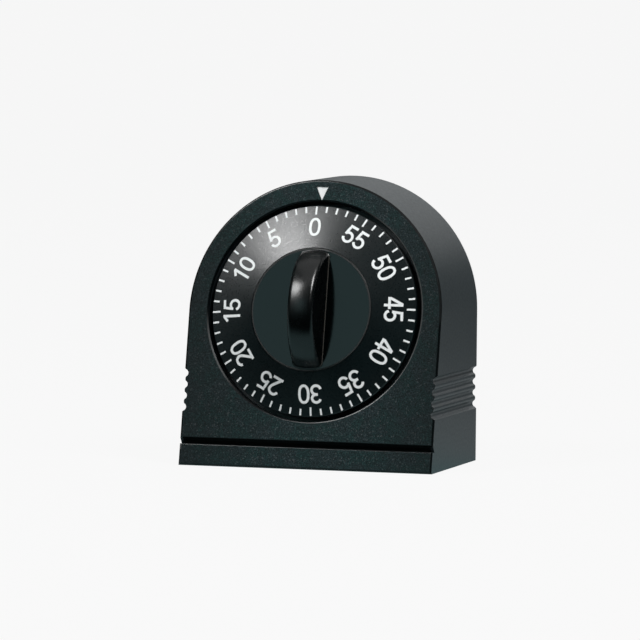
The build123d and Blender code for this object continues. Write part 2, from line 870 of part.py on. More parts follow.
# Movement frame
def plate(front, back, ears=()):
    outline = Rectangle(2 * plate_half_width, plate_top + plate_bottom)
    outline = fillet(outline.vertices(), plate_corner)
    sheet = slab(Pos(0, (plate_top - plate_bottom) / 2) * outline, front, back)
    for at in ears:
        inner = (at[0] * pillar_side / ear_side, at[1]) if at[0] else (0, pillar_top)
        sheet += bar(inner, at, 2 * ear_radius, front, back)
        sheet -= rod(movement_shank_radius + head_gap, front + overrun, back - overrun, at)
    holes = [(second_at, pivot_radius), (third_at, pivot_radius), (escape_at, pivot_radius)]
    holes += [(pallet_at, pivot_radius), (hammer_at, hammer_pivot_radius)]
    for at, radius in holes:
        sheet -= rod(radius + running_gap, front + overrun, back - overrun, at)
    for at in pillar_places:
        sheet -= rod(tenon_radius + seat_gap, front + overrun, back - overrun, at)
    return sheet


def front_plate():
    front, back = front_plate_front, front_plate_back
    sheet = plate(front, back, ear_places)
    sheet -= rod(shaft_radius + running_gap, front + overrun, back - overrun)
    sheet -= rod(stud_radius + seat_gap, front + overrun, back - overrun, lever_at)
    return face * sheet


def back_plate():
    front, back = back_plate_front, back_plate_back
    sheet = plate(front, back)
    sheet -= rod(rear_pivot_radius + running_gap, front + overrun, back - overrun)
    sheet -= rod(bell_stud_radius + seat_gap, front + overrun, back - overrun, bell_at)
    sheet -= rod(spring_stud_radius + seat_gap, front + overrun, back - overrun, spring_post_at())
    return face * sheet


def plate_pillars():
    pillars = []
    for at in pillar_places:
        pillar = turned(
            at,
            front_plate_front,
            (tenon_radius, front_plate_back),
            (pillar_radius, back_plate_front),
            (tenon_radius, back_plate_back),
        )
        pillars.append(face * pillar)
    return Compound(children=pillars)


def movement_screws():
    screws = []
    for at in ear_places:
        screw = turned(
            at,
            front_plate_back + movement_shank_length,
            (movement_shank_radius, front_plate_back),
            (movement_head_radius, front_plate_back - movement_head_height),
        )
        screws.append(face * screw)
    return Compound(children=screws)


# Mainspring: a strip of half circles that widen step by step, hooked round its post
def spring_start():
    return core_radius + spring_gap + spring_thickness / 2


def spring_end():
    odd = spring_half_turn_count % 2
    reach = spring_start() + spring_pitch / 2 * (spring_half_turn_count - odd)
    return -reach if odd else reach


def hook_radius():
    return spring_post_radius + spring_gap + spring_thickness / 2


def spring_post_at():
    side = 1 if spring_end() > 0 else -1
    return (spring_end() + side * hook_radius(), 0)


def mainspring():
    half = spring_thickness / 2
    edges = []
    for number in range(spring_half_turn_count):
        radius = spring_start() + spring_pitch / 2 * number
        centre = (spring_pitch / 2 * (number % 2), 0)
        for side in (-half, half):
            edges.append(CenterArc(centre, radius + side, 180 * (number % 2), 180))
    side = 1 if spring_end() > 0 else -1
    hook_start = 180 if side > 0 else 0
    for rim in (-half, half):
        edges.append(CenterArc(spring_post_at(), hook_radius() + rim, hook_start, -180))
    start = spring_start()
    tail = spring_post_at()[0] + side * hook_radius()
    edges.append(Line((start - half, 0), (start + half, 0)))
    edges.append(Line((tail - half, 0), (tail + half, 0)))
    front = core_front - spring_gap
    return face * slab(make_face(edges), front, front - spring_width)


def spring_post():
    front = core_front - spring_gap
    return face * turned(
        spring_post_at(),
        front,
        (spring_post_radius, back_plate_front),
        (spring_stud_radius, back_plate_back),
    )


# Bell
def bell_rim():
    return back_plate_back - bell_gap


def bell():
    rim = bell_rim()
    shoulder = rim - bell_skirt
    crown = shoulder - bell_rise
    wall = bell_wall
    points = [(bell_radius - wall, 0, rim), (bell_radius, 0, rim), (bell_radius, 0, shoulder)]
    points += [(bell_crown_radius, 0, crown), (bell_stud_radius + running_gap, 0, crown)]
    points.append((bell_stud_radius + running_gap, 0, crown + wall))
    points.append((bell_crown_radius - wall / 2, 0, crown + wall))
    points += [(bell_radius - wall, 0, shoulder + wall / 2)]
    return face * Pos(*bell_at) * revolve(polygon(points), Axis.Z)


def bell_seat():
    return bell_rim() - bell_skirt - bell_rise + bell_wall


def bell_post():
    nut_back = bell_seat() - bell_wall - bell_nut_height
    return face * turned(
        bell_at,
        back_plate_front,
        (bell_stud_radius, back_plate_back),
        (bell_post_radius, bell_seat()),
        (bell_stud_radius, nut_back - bell_stud_spare),
    )


def bell_nut():
    front = bell_seat() - bell_wall
    hexagon = RegularPolygon(bell_nut_width / 2, 6, major_radius=False)
    nut = slab(Pos(*bell_at) * hexagon, front, front - bell_nut_height)
    nut -= rod(bell_stud_radius + seat_gap, front + overrun, front - bell_nut_height - overrun, bell_at)
    return face * nut


PIECES = [
    front_housing,
    zero_pointer,
    rear_cover,
    cover_screws,
    numeral_dial,
    winding_knob,
    main_arbor,
    zero_cam,
    main_wheel,
    clutch_washer,
    mainspring,
    spring_post,
    second_arbor,
    second_wheel,
    strike_wheel,
    third_arbor,
    third_wheel,
    escape_arbor,
    escape_wheel,
    pallet_arbor,
    pallet_lever,
    balance_bar,
    hammer_arbor,
    hammer_tail,
    hammer_finger,
    hammer_arm,
    hammer_head,
    hammer_spring,
    release_lever,
    lever_stud,
    front_plate,
    back_plate,
    plate_pillars,
    movement_screws,
    bell,
    bell_post,
    bell_nut,
]

os.makedirs("parts", exist_ok=True)
for piece in PIECES:
    export_step(piece(), f"parts/{piece.__name__}.step")

for name, at in [
    ("dial", main_at),
    ("second", second_at),
    ("third", third_at),
    ("escape", escape_at),
    ("pallet", pallet_at),
    ("hammer", hammer_at),
    ("release", lever_at),
]:
    print(name, "axis through", face.from_local_coords((at[0], at[1], 0)))
print("axis direction", face.z_dir)
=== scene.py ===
import json
from math import cos, hypot, pi, radians, sin

import bmesh
import bpy
from mathutils import Matrix, Vector


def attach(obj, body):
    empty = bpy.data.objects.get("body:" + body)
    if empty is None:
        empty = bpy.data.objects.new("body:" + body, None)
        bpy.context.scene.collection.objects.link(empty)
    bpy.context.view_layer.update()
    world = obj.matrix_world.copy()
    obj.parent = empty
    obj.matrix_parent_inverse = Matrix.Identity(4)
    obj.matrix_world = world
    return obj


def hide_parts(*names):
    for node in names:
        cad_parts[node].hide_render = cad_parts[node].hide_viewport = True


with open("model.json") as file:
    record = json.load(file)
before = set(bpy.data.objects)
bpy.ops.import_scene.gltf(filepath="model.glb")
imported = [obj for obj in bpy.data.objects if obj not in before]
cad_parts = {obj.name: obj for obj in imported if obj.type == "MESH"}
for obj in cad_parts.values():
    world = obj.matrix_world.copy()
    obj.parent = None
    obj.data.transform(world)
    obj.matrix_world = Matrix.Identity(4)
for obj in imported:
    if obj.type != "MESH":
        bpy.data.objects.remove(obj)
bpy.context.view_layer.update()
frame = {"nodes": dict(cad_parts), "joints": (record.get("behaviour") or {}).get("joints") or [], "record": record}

# Wind-up kitchen timer: finishes, dial print, screw heads, studio and camera.
# Metres, in the frame of the solids. Dial pieces are drawn on the leaning face and then put in
# place: u runs to the right, v up the face and h out of it, from the dial's centre.

nodes = frame["nodes"]
subparts = frame["record"]["subparts"]
bodies = frame["record"]["behaviour"]["bodies"]
mm = 0.001
white = (1.0, 1.0, 1.0)

# Face of the timer, from the dial's own joint
dial_joint = next(joint for joint in frame["joints"] if joint["name"] == "dial_turn")
face_origin = Vector(dial_joint["pos_m"])
face_normal = -Vector(dial_joint["axis"])
face_right = Vector((1, 0, 0))
face_up = face_normal.cross(face_right)
face_turn = Matrix((face_right, face_up, face_normal)).transposed().to_4x4()
face_place = Matrix.Translation(face_origin) @ face_turn

# Skins of the solids
weld_distance = 0.0005 * mm
crease_angle = radians(26)

# Print on the dial, which stands a little off the pointer
print_angle = radians(2.25)
print_place = face_place @ Matrix.Rotation(print_angle, 4, "Z")
minute_count = 60
marks_per_number = 5
minor_outer = 28.0 * mm
minor_inner = 26.28 * mm
major_outer = 28.03 * mm
major_inner = 25.75 * mm
mark_width = 0.5 * mm
print_lift = 0.03 * mm
print_sink = 0.02 * mm
rim_band = 0.5 * mm
numeral_height = 5.05 * mm
numeral_radius = 22.35 * mm
digit_gap_share = 0.07

# Screws of the rear cover, from the head's radius and the screw's length
head_share = 0.11
head_dome_share = 0.3
dome_width_share = 0.999
dome_steps = 6
shank_share = 0.5
crest_share = 0.94
root_share = 0.76
pitch_share = 0.075
thread_shares = (0.3, 0.6, 0.9)
screw_segments = 48
recess_width_share = 0.2
recess_reach_share = 0.62
recess_depth_share = 0.7
recess_rise_share = 0.5
recess_taper = 0.55
screw_turn_step = radians(37)

# Camera, worked out from the photograph
view_yaw = radians(17.048)
view_rise = radians(4.025)
view_roll = radians(0.506)
view_target = Vector((0, 0, 0.038))
view_distance = 1.58653
view_offset_right = -2.462 * mm
view_offset_up = 0.264 * mm
focal_pixels = 5935.15
image_pixels = 640
sensor_width_mm = 36

# Studio: the gloss values are what shiny pieces show of the paper, by its depth
paper_glow = 1.0
room_glow = 0.022
paper_grey = 0.22
floor_gap = 0.02 * mm
floor_half_width = 3.0
floor_front = 0.55
floor_back = 1.6
sweep_radius = 0.8
backdrop_top = 3.2
sweep_steps = 24
shadow_share = 0.08
gloss_near = 0.48
gloss_far = 0.16
gloss_edge = (-0.085, -0.07)
gloss_fall = (0.1, 0.4)
shade_tint = (0.6, 0.97, 1.0)
paper_tint = (0.88, 0.97, 1.0)
tint_fall = (-0.04, 0.08)

# Softboxes: direction from the timer, distance, width, height, how bright they look, and tint
softboxes = {
    "key_softbox": ((-0.47, -0.575, 0.67), 1.1, 0.34, 0.36, 18.4, white),
    "front_panel": ((-0.296, -0.904, 0.307), 1.2, 0.4, 0.4, 0.64, shade_tint),
    "top_softbox": ((0.1, 0.05, 1.0), 1.3, 1.8, 1.5, 0.55, white),
    "right_softbox": ((0.533, -0.336, 0.774), 1.0, 0.36, 0.4, 19.0, white),
    "rear_softbox": ((0.07, 0.95, 0.42), 1.2, 1.0, 0.5, 0.62, white),
}


# Face geometry
def to_face(point):
    """Place of a point as (u, v, h) on the leaning face."""
    step = Vector(point) - face_origin
    return step.dot(face_right), step.dot(face_up), step.dot(face_normal)


def rings_of(name):
    """Each corner of a solid as (radius, height) about the dial's axis."""
    points = [to_face(vertex.co) for vertex in nodes[name].data.vertices]
    return [(hypot(u, v), h) for u, v, h in points]


def cone_of_dial():
    """Inner and outer (radius, height) of the printed cone, read from the dial's solid."""
    rings = rings_of("numeral_dial")
    inner = max(rings, key=lambda ring: ring[1])
    rim = max(radius for radius, _ in rings)
    on_rim = [ring for ring in rings if rim - rim_band < ring[0]]
    return inner, max(on_rim, key=lambda ring: ring[1])


cone_inner, cone_outer = cone_of_dial()
cone_slope = (cone_outer[1] - cone_inner[1]) / (cone_outer[0] - cone_inner[0])
disc_radius = max(radius for radius, _ in rings_of("winding_knob"))


def cone_height(radius):
    return cone_inner[1] + cone_slope * (radius - cone_inner[0])


# Mesh helpers
def link(mesh, name):
    piece = bpy.data.objects.new(name, mesh)
    bpy.context.scene.collection.objects.link(piece)
    return piece


def piece_of(shape, name):
    """Object made of a shape, which is used up."""
    mesh = bpy.data.meshes.new(name)
    shape.to_mesh(mesh)
    shape.free()
    return link(mesh, name)


def finished(piece):
    """Plain mesh of a piece with its modifiers worked in."""
    graph = bpy.context.evaluated_depsgraph_get()
    mesh = bpy.data.meshes.new_from_object(
        piece.evaluated_get(graph), preserve_all_data_layers=True, depsgraph=graph
    )
    mesh.name = piece.name
    piece.modifiers.clear()
    piece.data = mesh
    return piece


def sharpened(shape, angle):
    """Smooth faces, with creases where two faces meet at more than an angle."""
    for face in shape.faces:
        face.smooth = True
    for edge in shape.edges:
        edge.smooth = edge.is_manifold and edge.calc_face_angle(pi) < angle


def skin(node, name, material):
    """Joined, smooth-shaded copy of a solid's triangles that stands for it."""
    source = nodes[node].data
    shape = bmesh.new()
    corners = [shape.verts.new(vertex.co) for vertex in source.vertices]
    for polygon in source.polygons:
        shape.faces.new([corners[index] for index in polygon.vertices])
    bmesh.ops.remove_doubles(shape, verts=shape.verts, dist=weld_distance)
    bmesh.ops.dissolve_degenerate(shape, edges=shape.edges, dist=weld_distance)
    sharpened(shape, crease_angle)
    piece = piece_of(shape, name)
    weights = piece.modifiers.new("even_normals", "WEIGHTED_NORMAL")
    weights.keep_sharp = True
    finished(piece)
    piece.data.materials.clear()
    piece.data.materials.append(material)
    body = next(body for body, members in bodies.items() if node in members)
    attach(piece, body)
    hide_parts(node)


# Shader helpers
noise_spread = (0.3, 0.7)
grain_detail = 3.0
cloud_detail = 2.0


def empty_material(name):
    material = bpy.data.materials.new(name)
    material.use_nodes = True
    tree = material.node_tree
    tree.nodes.clear()
    out = tree.nodes.new("ShaderNodeOutputMaterial")
    return material, tree, out


def new_material(name):
    material, tree, out = empty_material(name)
    shader = tree.nodes.new("ShaderNodeBsdfPrincipled")
    tree.links.new(shader.outputs[0], out.inputs[0])
    return material, tree, shader


def feed(tree, socket, value):
    """Sets a socket to a number, a colour or another node's output."""
    if isinstance(value, bpy.types.NodeSocket):
        tree.links.new(value, socket)
    elif isinstance(value, (tuple, list)) and len(value) == 3 and socket.type == "RGBA":
        socket.default_value = (*value, 1)
    else:
        socket.default_value = value


def node(tree, kind, settings=None, **inputs):
    made = tree.nodes.new(kind)
    for key, value in (settings or {}).items():
        setattr(made, key, value)
    for key, value in inputs.items():
        feed(tree, made.inputs[key.replace("_", " ")], value)
    return made


def math(tree, operation, first, second=0.0, third=0.0, clamp=False):
    made = node(tree, "ShaderNodeMath", {"operation": operation, "use_clamp": clamp})
    for socket, value in zip(made.inputs, (first, second, third)):
        feed(tree, socket, value)
    return made.outputs[0]


def times(tree, first, second):
    return math(tree, "MULTIPLY", first, second)


def object_place(tree):
    return node(tree, "ShaderNodeTexCoord").outputs["Object"]


def noise(tree, place, scale, detail=grain_detail, roughness=0.55):
    inputs = {"Vector": place, "Scale": scale, "Detail": detail, "Roughness": roughness}
    return node(tree, "ShaderNodeTexNoise", **inputs).outputs["Fac"]


def specks(tree, place, scale):
    """One even random number for each grain of the surface."""
    cells = node(tree, "ShaderNodeTexVoronoi", Vector=place, Scale=scale)
    split = node(tree, "ShaderNodeSeparateColor", Color=cells.outputs["Color"])
    return split.outputs[0]


def ramp(tree, value, low, high, start=0.0, end=1.0):
    made = node(tree, "ShaderNodeMapRange", {"interpolation_type": "SMOOTHSTEP"}, Value=value)
    limits = {"From Min": low, "From Max": high, "To Min": start, "To Max": end}
    for name, number in limits.items():
        feed(tree, made.inputs[name], number)
    return made.outputs[0]


def fade(tree, value, low, high):
    """A ramp that runs from one down to nothing."""
    return ramp(tree, value, low, high, 1.0, 0.0)


def blend(tree, share, first, second):
    made = node(tree, "ShaderNodeMix", {"data_type": "RGBA"})
    feed(tree, made.inputs[0], share)
    feed(tree, made.inputs[6], first)
    feed(tree, made.inputs[7], second)
    return made.outputs[2]


def blend_number(tree, share, first, second):
    made = node(tree, "ShaderNodeMix")
    feed(tree, made.inputs[0], share)
    feed(tree, made.inputs[2], first)
    feed(tree, made.inputs[3], second)
    return made.outputs[0]


def blend_shader(tree, share, first, second):
    made = node(tree, "ShaderNodeMixShader")
    for socket, value in zip(made.inputs, (share, first, second)):
        feed(tree, socket, value)
    return made.outputs[0]


def bump(tree, height, strength, distance, under=None):
    made = node(tree, "ShaderNodeBump", Height=height, Strength=strength, Distance=distance)
    if under is not None:
        tree.links.new(under, made.inputs["Normal"])
    return made.outputs[0]


def vector_math(tree, operation, first, second=(0, 0, 0)):
    made = node(tree, "ShaderNodeVectorMath", {"operation": operation})
    feed(tree, made.inputs[0], first)
    made.inputs[1].default_value = second
    return made.outputs


def height_over_face(tree, place):
    """How far a point of the surface lies in front of the timer's face."""
    step = vector_math(tree, "SUBTRACT", place, face_origin)["Vector"]
    return vector_math(tree, "DOT_PRODUCT", step, face_normal)["Value"]


def reach_on_face(tree, place):
    """How far a point of the surface lies from the dial's axis."""
    step = vector_math(tree, "SUBTRACT", place, face_origin)["Vector"]
    arm = vector_math(tree, "CROSS_PRODUCT", step, face_normal)["Vector"]
    return vector_math(tree, "LENGTH", arm)["Value"]


# Case plastic. A zone is the pair of places between which it comes in or fades.
front_zone = (-0.012 * mm, -0.002 * mm)
edge_zone = (-0.75 * mm, -0.45 * mm)
case_grain_scale = 3400.0
case_grain_detail = 4.0
case_grain_roughness = 0.6
case_relief = (0.55, 0.05 * mm)
case_gloss = (0.375, 0.15)

# Its front
tone_scale = 260.0
tone_zone = (0.4, 0.6)
tone_colours = ((0.0118, 0.0368, 0.0372), (0.0185, 0.0338, 0.0378))
pit_zone = (0.38, 0.66)
pit_colour = (0.002, 0.0065, 0.0068)
sparkle_scale = 3600.0
sparkle_zone = (0.9, 1.0)
sparkle_share = 0.5
sparkle_colour = (0.078, 0.09, 0.094)
# Painted shade: the front's colour darkens towards its sides, away from a middle a little right of centre.
side_shade_middle = 2.0 * mm
side_shade_zone = (8.0 * mm, 40.0 * mm)
side_shade_share = 0.55
side_shade_colour = (0.0006, 0.002, 0.0022)
front_rough = (0.62, 0.5)

# Its sides, and the painted shade in the groove across the foot of the front
side_cloud_scale = 90.0
side_colours = ((0.014, 0.02, 0.0222), (0.018, 0.0252, 0.028))
side_grain_scale = 1400.0
side_grain_share = 0.12
side_rough = (0.36, 0.42)
groove_shade_end_zone = (34.0 * mm, 34.3 * mm)
groove_shade_top_zone = (9.2 * mm, 9.6 * mm)
groove_shade_floor_zone = (-2.6 * mm, -2.3 * mm)

# Its edges, and the lip round the dial: a painted highlight line in places, and matt in places
# Near black on the rounded edges, and the same near black as painted shade inside the groove.
edge_and_groove_shade_colour = (0.0006, 0.0018, 0.002)
edge_rough = (0.24, 0.6)
lip_zone = (31.5 * mm, 33.0 * mm)
# Painted highlight on the lip: its depth zone, its colour and where it lies.
lip_glint_line_zone = (-0.3 * mm, -0.15 * mm)
painted_lip_glint_colour = (0.06, 0.063, 0.063)
lip_glint_right_zone = (10.0 * mm, 18.0 * mm)
lip_glint_left_zone = (-25.0 * mm, -20.0 * mm)
lip_glint_left_top_zone = (34.0 * mm, 42.0 * mm)
matt_lip_zone = (-14.0 * mm, -9.0 * mm)
matt_lip_top_zone = (27.0 * mm, 31.0 * mm)
matt_edge_zone = (0.0, 10.0 * mm)
matt_edge_foot_zone = (38.0 * mm, 42.0 * mm)


def case_front_colour(tree, place, across, grain):
    """Pits, peaks of two tones and bright grains, with painted shade darker towards the sides."""
    tone = noise(tree, place, tone_scale, cloud_detail)
    peak = blend(tree, ramp(tree, tone, *tone_zone), *tone_colours)
    dull = blend(tree, ramp(tree, grain, *pit_zone), pit_colour, peak)
    sparkle = ramp(tree, specks(tree, place, sparkle_scale), *sparkle_zone)
    grained = blend(tree, times(tree, sparkle, sparkle_share), dull, sparkle_colour)
    # Painted shade, darker towards the sides of the front.
    from_middle = math(tree, "ABSOLUTE", math(tree, "SUBTRACT", across, side_shade_middle))
    side_shade = ramp(tree, from_middle, *side_shade_zone, 0.0, side_shade_share)
    return blend(tree, side_shade, grained, side_shade_colour)


# Painted shade: where the inside of the groove is painted near black.
def groove_share(tree, over, across, rise):
    inside = fade(tree, math(tree, "ABSOLUTE", across), *groove_shade_end_zone)
    low = times(tree, inside, fade(tree, rise, *groove_shade_top_zone))
    return times(tree, low, ramp(tree, over, *groove_shade_floor_zone))


def worn_share(tree, across, rise):
    """Where a painted highlight line lies on the lip: on the right and at the lower left."""
    right = ramp(tree, across, *lip_glint_right_zone)
    left = fade(tree, across, *lip_glint_left_zone)
    low_left = times(tree, left, fade(tree, rise, *lip_glint_left_top_zone))
    return math(tree, "ADD", right, low_left)


def matt_share(tree, across, rise, on_lip, on_outer_edge):
    """Where an edge is matt: the lip at the lower left, the outer edge at the upper right."""
    left = fade(tree, across, *matt_lip_zone)
    low_left = times(tree, left, fade(tree, rise, *matt_lip_top_zone))
    right = ramp(tree, across, *matt_edge_zone)
    upper_right = times(tree, right, ramp(tree, rise, *matt_edge_foot_zone))
    matt_lip = times(tree, on_lip, low_left)
    return math(tree, "MULTIPLY_ADD", upper_right, on_outer_edge, matt_lip)


def case_plastic():
    """Black moulding: grained front with painted shade towards its sides, smoother satin sides, edges with a
    finish of their own and a painted highlight line on the lip, and painted shade in the groove.
    """
    material, tree, shader = new_material("case_plastic_grained")
    place = object_place(tree)
    over = height_over_face(tree, place)
    across, _, rise = node(tree, "ShaderNodeSeparateXYZ", Vector=place).outputs
    grain = noise(tree, place, case_grain_scale, case_grain_detail, case_grain_roughness)
    on_front = ramp(tree, over, *front_zone)
    on_edge = ramp(tree, over, *edge_zone)
    off_lip = ramp(tree, reach_on_face(tree, place), *lip_zone)
    on_lip = times(tree, on_edge, math(tree, "SUBTRACT", 1.0, off_lip))
    matt_edge = matt_share(tree, across, rise, on_lip, times(tree, on_edge, off_lip))

    front = case_front_colour(tree, place, across, grain)
    side = blend(tree, noise(tree, place, side_cloud_scale, cloud_detail), *side_colours)
    # Near black on the edges, and painted shade inside the groove.
    edge_and_groove_shade = math(tree, "MAXIMUM", on_edge, groove_share(tree, over, across, rise))
    edged = blend(tree, edge_and_groove_shade, side, edge_and_groove_shade_colour)
    # Painted highlight: a pale line on the lip, on the right and at the lower left.
    glint_on_lip = times(tree, on_lip, worn_share(tree, across, rise))
    lip_glint = times(tree, glint_on_lip, ramp(tree, over, *lip_glint_line_zone))
    rest = blend(tree, lip_glint, edged, painted_lip_glint_colour)
    feed(tree, shader.inputs["Base Color"], blend(tree, on_front, rest, front))

    matt = math(tree, "MAXIMUM", on_front, matt_edge)
    feed(tree, shader.inputs["Specular IOR Level"], blend_number(tree, matt, *case_gloss))
    side_grain = noise(tree, place, side_grain_scale, cloud_detail)
    rough_front = ramp(tree, grain, *noise_spread, *front_rough)
    rough_side = ramp(tree, side_grain, *noise_spread, *side_rough)
    rough_edge = blend_number(tree, matt_edge, *edge_rough)
    rough_rest = blend_number(tree, on_edge, rough_side, rough_edge)
    feed(tree, shader.inputs["Roughness"], blend_number(tree, on_front, rough_rest, rough_front))
    depth = blend_number(tree, on_front, times(tree, grain, side_grain_share), grain)
    feed(tree, shader.inputs["Normal"], bump(tree, depth, *case_relief))
    return material


# Ring of the dial
ring_grain_scale = 3100.0
ring_cloud_scale = 150.0
ring_colours = ((0.0003, 0.0024, 0.003), (0.0007, 0.0046, 0.0054))
ring_gloss = 0.6
ring_rough = (0.27, 0.34)
ring_relief = (0.5, 0.03 * mm)
ring_dish = 4.5


def dial_plastic():
    """Semi-gloss black ring with a very fine grain, its cone shaded as a little dished."""
    material, tree, shader = new_material("dial_plastic_satin")
    place = object_place(tree)
    grain = noise(tree, place, ring_grain_scale)
    cloud = noise(tree, place, ring_cloud_scale, cloud_detail)
    feed(tree, shader.inputs["Base Color"], blend(tree, cloud, *ring_colours))
    shader.inputs["Specular IOR Level"].default_value = ring_gloss
    feed(tree, shader.inputs["Roughness"], ramp(tree, grain, *noise_spread, *ring_rough))
    ring_middle = (cone_inner[0] + cone_outer[0]) / 2
    from_middle = math(tree, "SUBTRACT", reach_on_face(tree, place), ring_middle)
    dish = times(tree, times(tree, from_middle, from_middle), ring_dish)
    dished = bump(tree, dish, 1.0, 1.0)
    feed(tree, shader.inputs["Normal"], bump(tree, grain, *ring_relief, dished))
    return material


# Knob, with heights over its disc
knob_colours = ((0.0002, 0.0006, 0.0007), (0.0004, 0.0012, 0.0014))
knob_grain_scale = 3000.0
knob_cloud_scale = 220.0
knob_gloss = 0.52
knob_relief = (0.2, 0.02 * mm)
disc_rough = (0.09, 0.13)
disc_relief_share = 0.1
rim_zone = (disc_radius - 0.6 * mm, disc_radius - 0.4 * mm)
rim_rough = 0.5
fillet_zone = (0.03 * mm, 0.08 * mm)
grip_zone = (0.06 * mm, 0.3 * mm)
grip_rough = (0.25, 0.3)
grip_relief_share = 0.2
# Painted highlight line at the grip's right foot: where it lies, and its colour.
foot_glint_side_zone = (3.3 * mm, 3.8 * mm)
foot_glint_top_zone = (0.2 * mm, 0.3 * mm)
painted_foot_glint_colour = (0.05, 0.047, 0.042)


def knob_plastic():
    """Gloss black grip with a painted highlight line at its right foot, on a disc that mirrors it."""
    material, tree, shader = new_material("knob_plastic_gloss")
    place = object_place(tree)
    over_disc = math(tree, "SUBTRACT", height_over_face(tree, place), cone_inner[1])
    across = node(tree, "ShaderNodeSeparateXYZ", Vector=place).outputs["X"]
    grain = noise(tree, place, knob_grain_scale)
    cloud = noise(tree, place, knob_cloud_scale, cloud_detail)

    disc = blend(tree, grain, *knob_colours)
    grip = blend(tree, cloud, *knob_colours)
    # Painted highlight: a pale line along the foot of the grip's right wall.
    on_right = ramp(tree, across, *foot_glint_side_zone)
    right_foot_glint = times(tree, on_right, fade(tree, over_disc, *foot_glint_top_zone))
    grip_with_foot_glint = blend(tree, right_foot_glint, grip, painted_foot_glint_colour)
    in_fillet = ramp(tree, over_disc, *fillet_zone)
    feed(tree, shader.inputs["Base Color"], blend(tree, in_fillet, disc, grip_with_foot_glint))
    shader.inputs["Specular IOR Level"].default_value = knob_gloss

    on_grip = ramp(tree, over_disc, *grip_zone)
    on_rim = ramp(tree, reach_on_face(tree, place), *rim_zone)
    rough_mirror = ramp(tree, grain, *noise_spread, *disc_rough)
    rough_disc = blend_number(tree, on_rim, rough_mirror, rim_rough)
    rough_grip = ramp(tree, cloud, *noise_spread, *grip_rough)
    feed(tree, shader.inputs["Roughness"], blend_number(tree, on_grip, rough_disc, rough_grip))
    disc_relief = times(tree, grain, disc_relief_share)
    grip_relief = times(tree, cloud, grip_relief_share)
    depth = blend_number(tree, on_grip, disc_relief, grip_relief)
    feed(tree, shader.inputs["Normal"], bump(tree, depth, *knob_relief))
    return material


# Whites
print_cover_scale = 1800.0
print_colours = ((0.68, 0.71, 0.71), (0.8, 0.82, 0.82))
print_rough = (0.45, 0.6)
print_relief = (0.2, 0.01 * mm)
pointer_cloud_scale = 700.0
pointer_colours = ((0.74, 0.75, 0.75), (0.84, 0.85, 0.85))
pointer_rough = (0.4, 0.52)
pointer_relief = (0.15, 0.02 * mm)


def uneven_white(name, scale, colours, rough, relief):
    material, tree, shader = new_material(name)
    cover = noise(tree, object_place(tree), scale)
    feed(tree, shader.inputs["Base Color"], blend(tree, cover, *colours))
    feed(tree, shader.inputs["Roughness"], ramp(tree, cover, *noise_spread, *rough))
    feed(tree, shader.inputs["Normal"], bump(tree, cover, *relief))
    return material


def white_print():
    """Pad-printed white, a little uneven in cover."""
    look = (print_cover_scale, print_colours, print_rough, print_relief)
    return uneven_white("dial_print_white", *look)


def pointer_plastic():
    """White moulding, a little cloudy."""
    look = (pointer_cloud_scale, pointer_colours, pointer_rough, pointer_relief)
    return uneven_white("pointer_plastic_white", *look)


# Bare metals: dull colour, bright colour and roughness of each
streak_scale = 4200.0
streak_length = 6.0
tarnish_scale = 260.0
tarnish_detail = 4.0
metal_relief = (0.12, 0.01 * mm)
metal_looks = {
    "steel_drawn": ((0.42, 0.42, 0.43), (0.6, 0.6, 0.61), (0.25, 0.42)),
    "brass_stamped": ((0.55, 0.38, 0.15), (0.74, 0.55, 0.25), (0.24, 0.4)),
    "bell_plated": ((0.62, 0.62, 0.63), (0.76, 0.76, 0.77), (0.1, 0.2)),
    "screw_zinc": ((0.3, 0.3, 0.3), (0.5, 0.5, 0.5), (0.3, 0.5)),
}


def metal(name):
    """Bare metal with drawn streaks from front to back and faint tarnish."""
    dull, bright, rough = metal_looks[name]
    material, tree, shader = new_material(name)
    place = object_place(tree)
    drawn = node(tree, "ShaderNodeMapping", Vector=place)
    drawn.inputs["Scale"].default_value = (1.0, 1.0 / streak_length, 1.0)
    lines = noise(tree, drawn.outputs[0], streak_scale, cloud_detail)
    tarnish = noise(tree, place, tarnish_scale, tarnish_detail)
    feed(tree, shader.inputs["Base Color"], blend(tree, tarnish, dull, bright))
    shader.inputs["Metallic"].default_value = 1.0
    feed(tree, shader.inputs["Roughness"], ramp(tree, lines, *noise_spread, *rough))
    feed(tree, shader.inputs["Normal"], bump(tree, lines, *metal_relief))
    return material


# Pieces made by trees of geometry nodes
def new_tree(name):
    tree = bpy.data.node_groups.new(name, "GeometryNodeTree")
    tree.interface.new_socket("Geometry", in_out="OUTPUT", socket_type="NodeSocketGeometry")
    return tree


def new_input(tree, name, kind):
    """Adds a named input and gives the identifier that a modifier sets it by."""
    return tree.interface.new_socket(name, in_out="INPUT", socket_type=kind).identifier


def hand_out(tree, instances, material):
    """Ends a tree with its instances made real and painted."""
    real = node(tree, "GeometryNodeRealizeInstances", Geometry=instances)
    painted = node(tree, "GeometryNodeSetMaterial", Geometry=real.outputs[0], Material=material)
    out = tree.nodes.new("NodeGroupOutput")
    tree.links.new(painted.outputs[0], out.inputs[0])


def grown(mesh, name, tree, settings):
    """Plain mesh that a tree makes, with its inputs set by their identifiers."""
    piece = link(mesh, name)
    modifier = piece.modifiers.new(name, "NODES")
    modifier.node_group = tree
    for identifier, value in settings.items():
        modifier[identifier] = value
    return finished(piece)


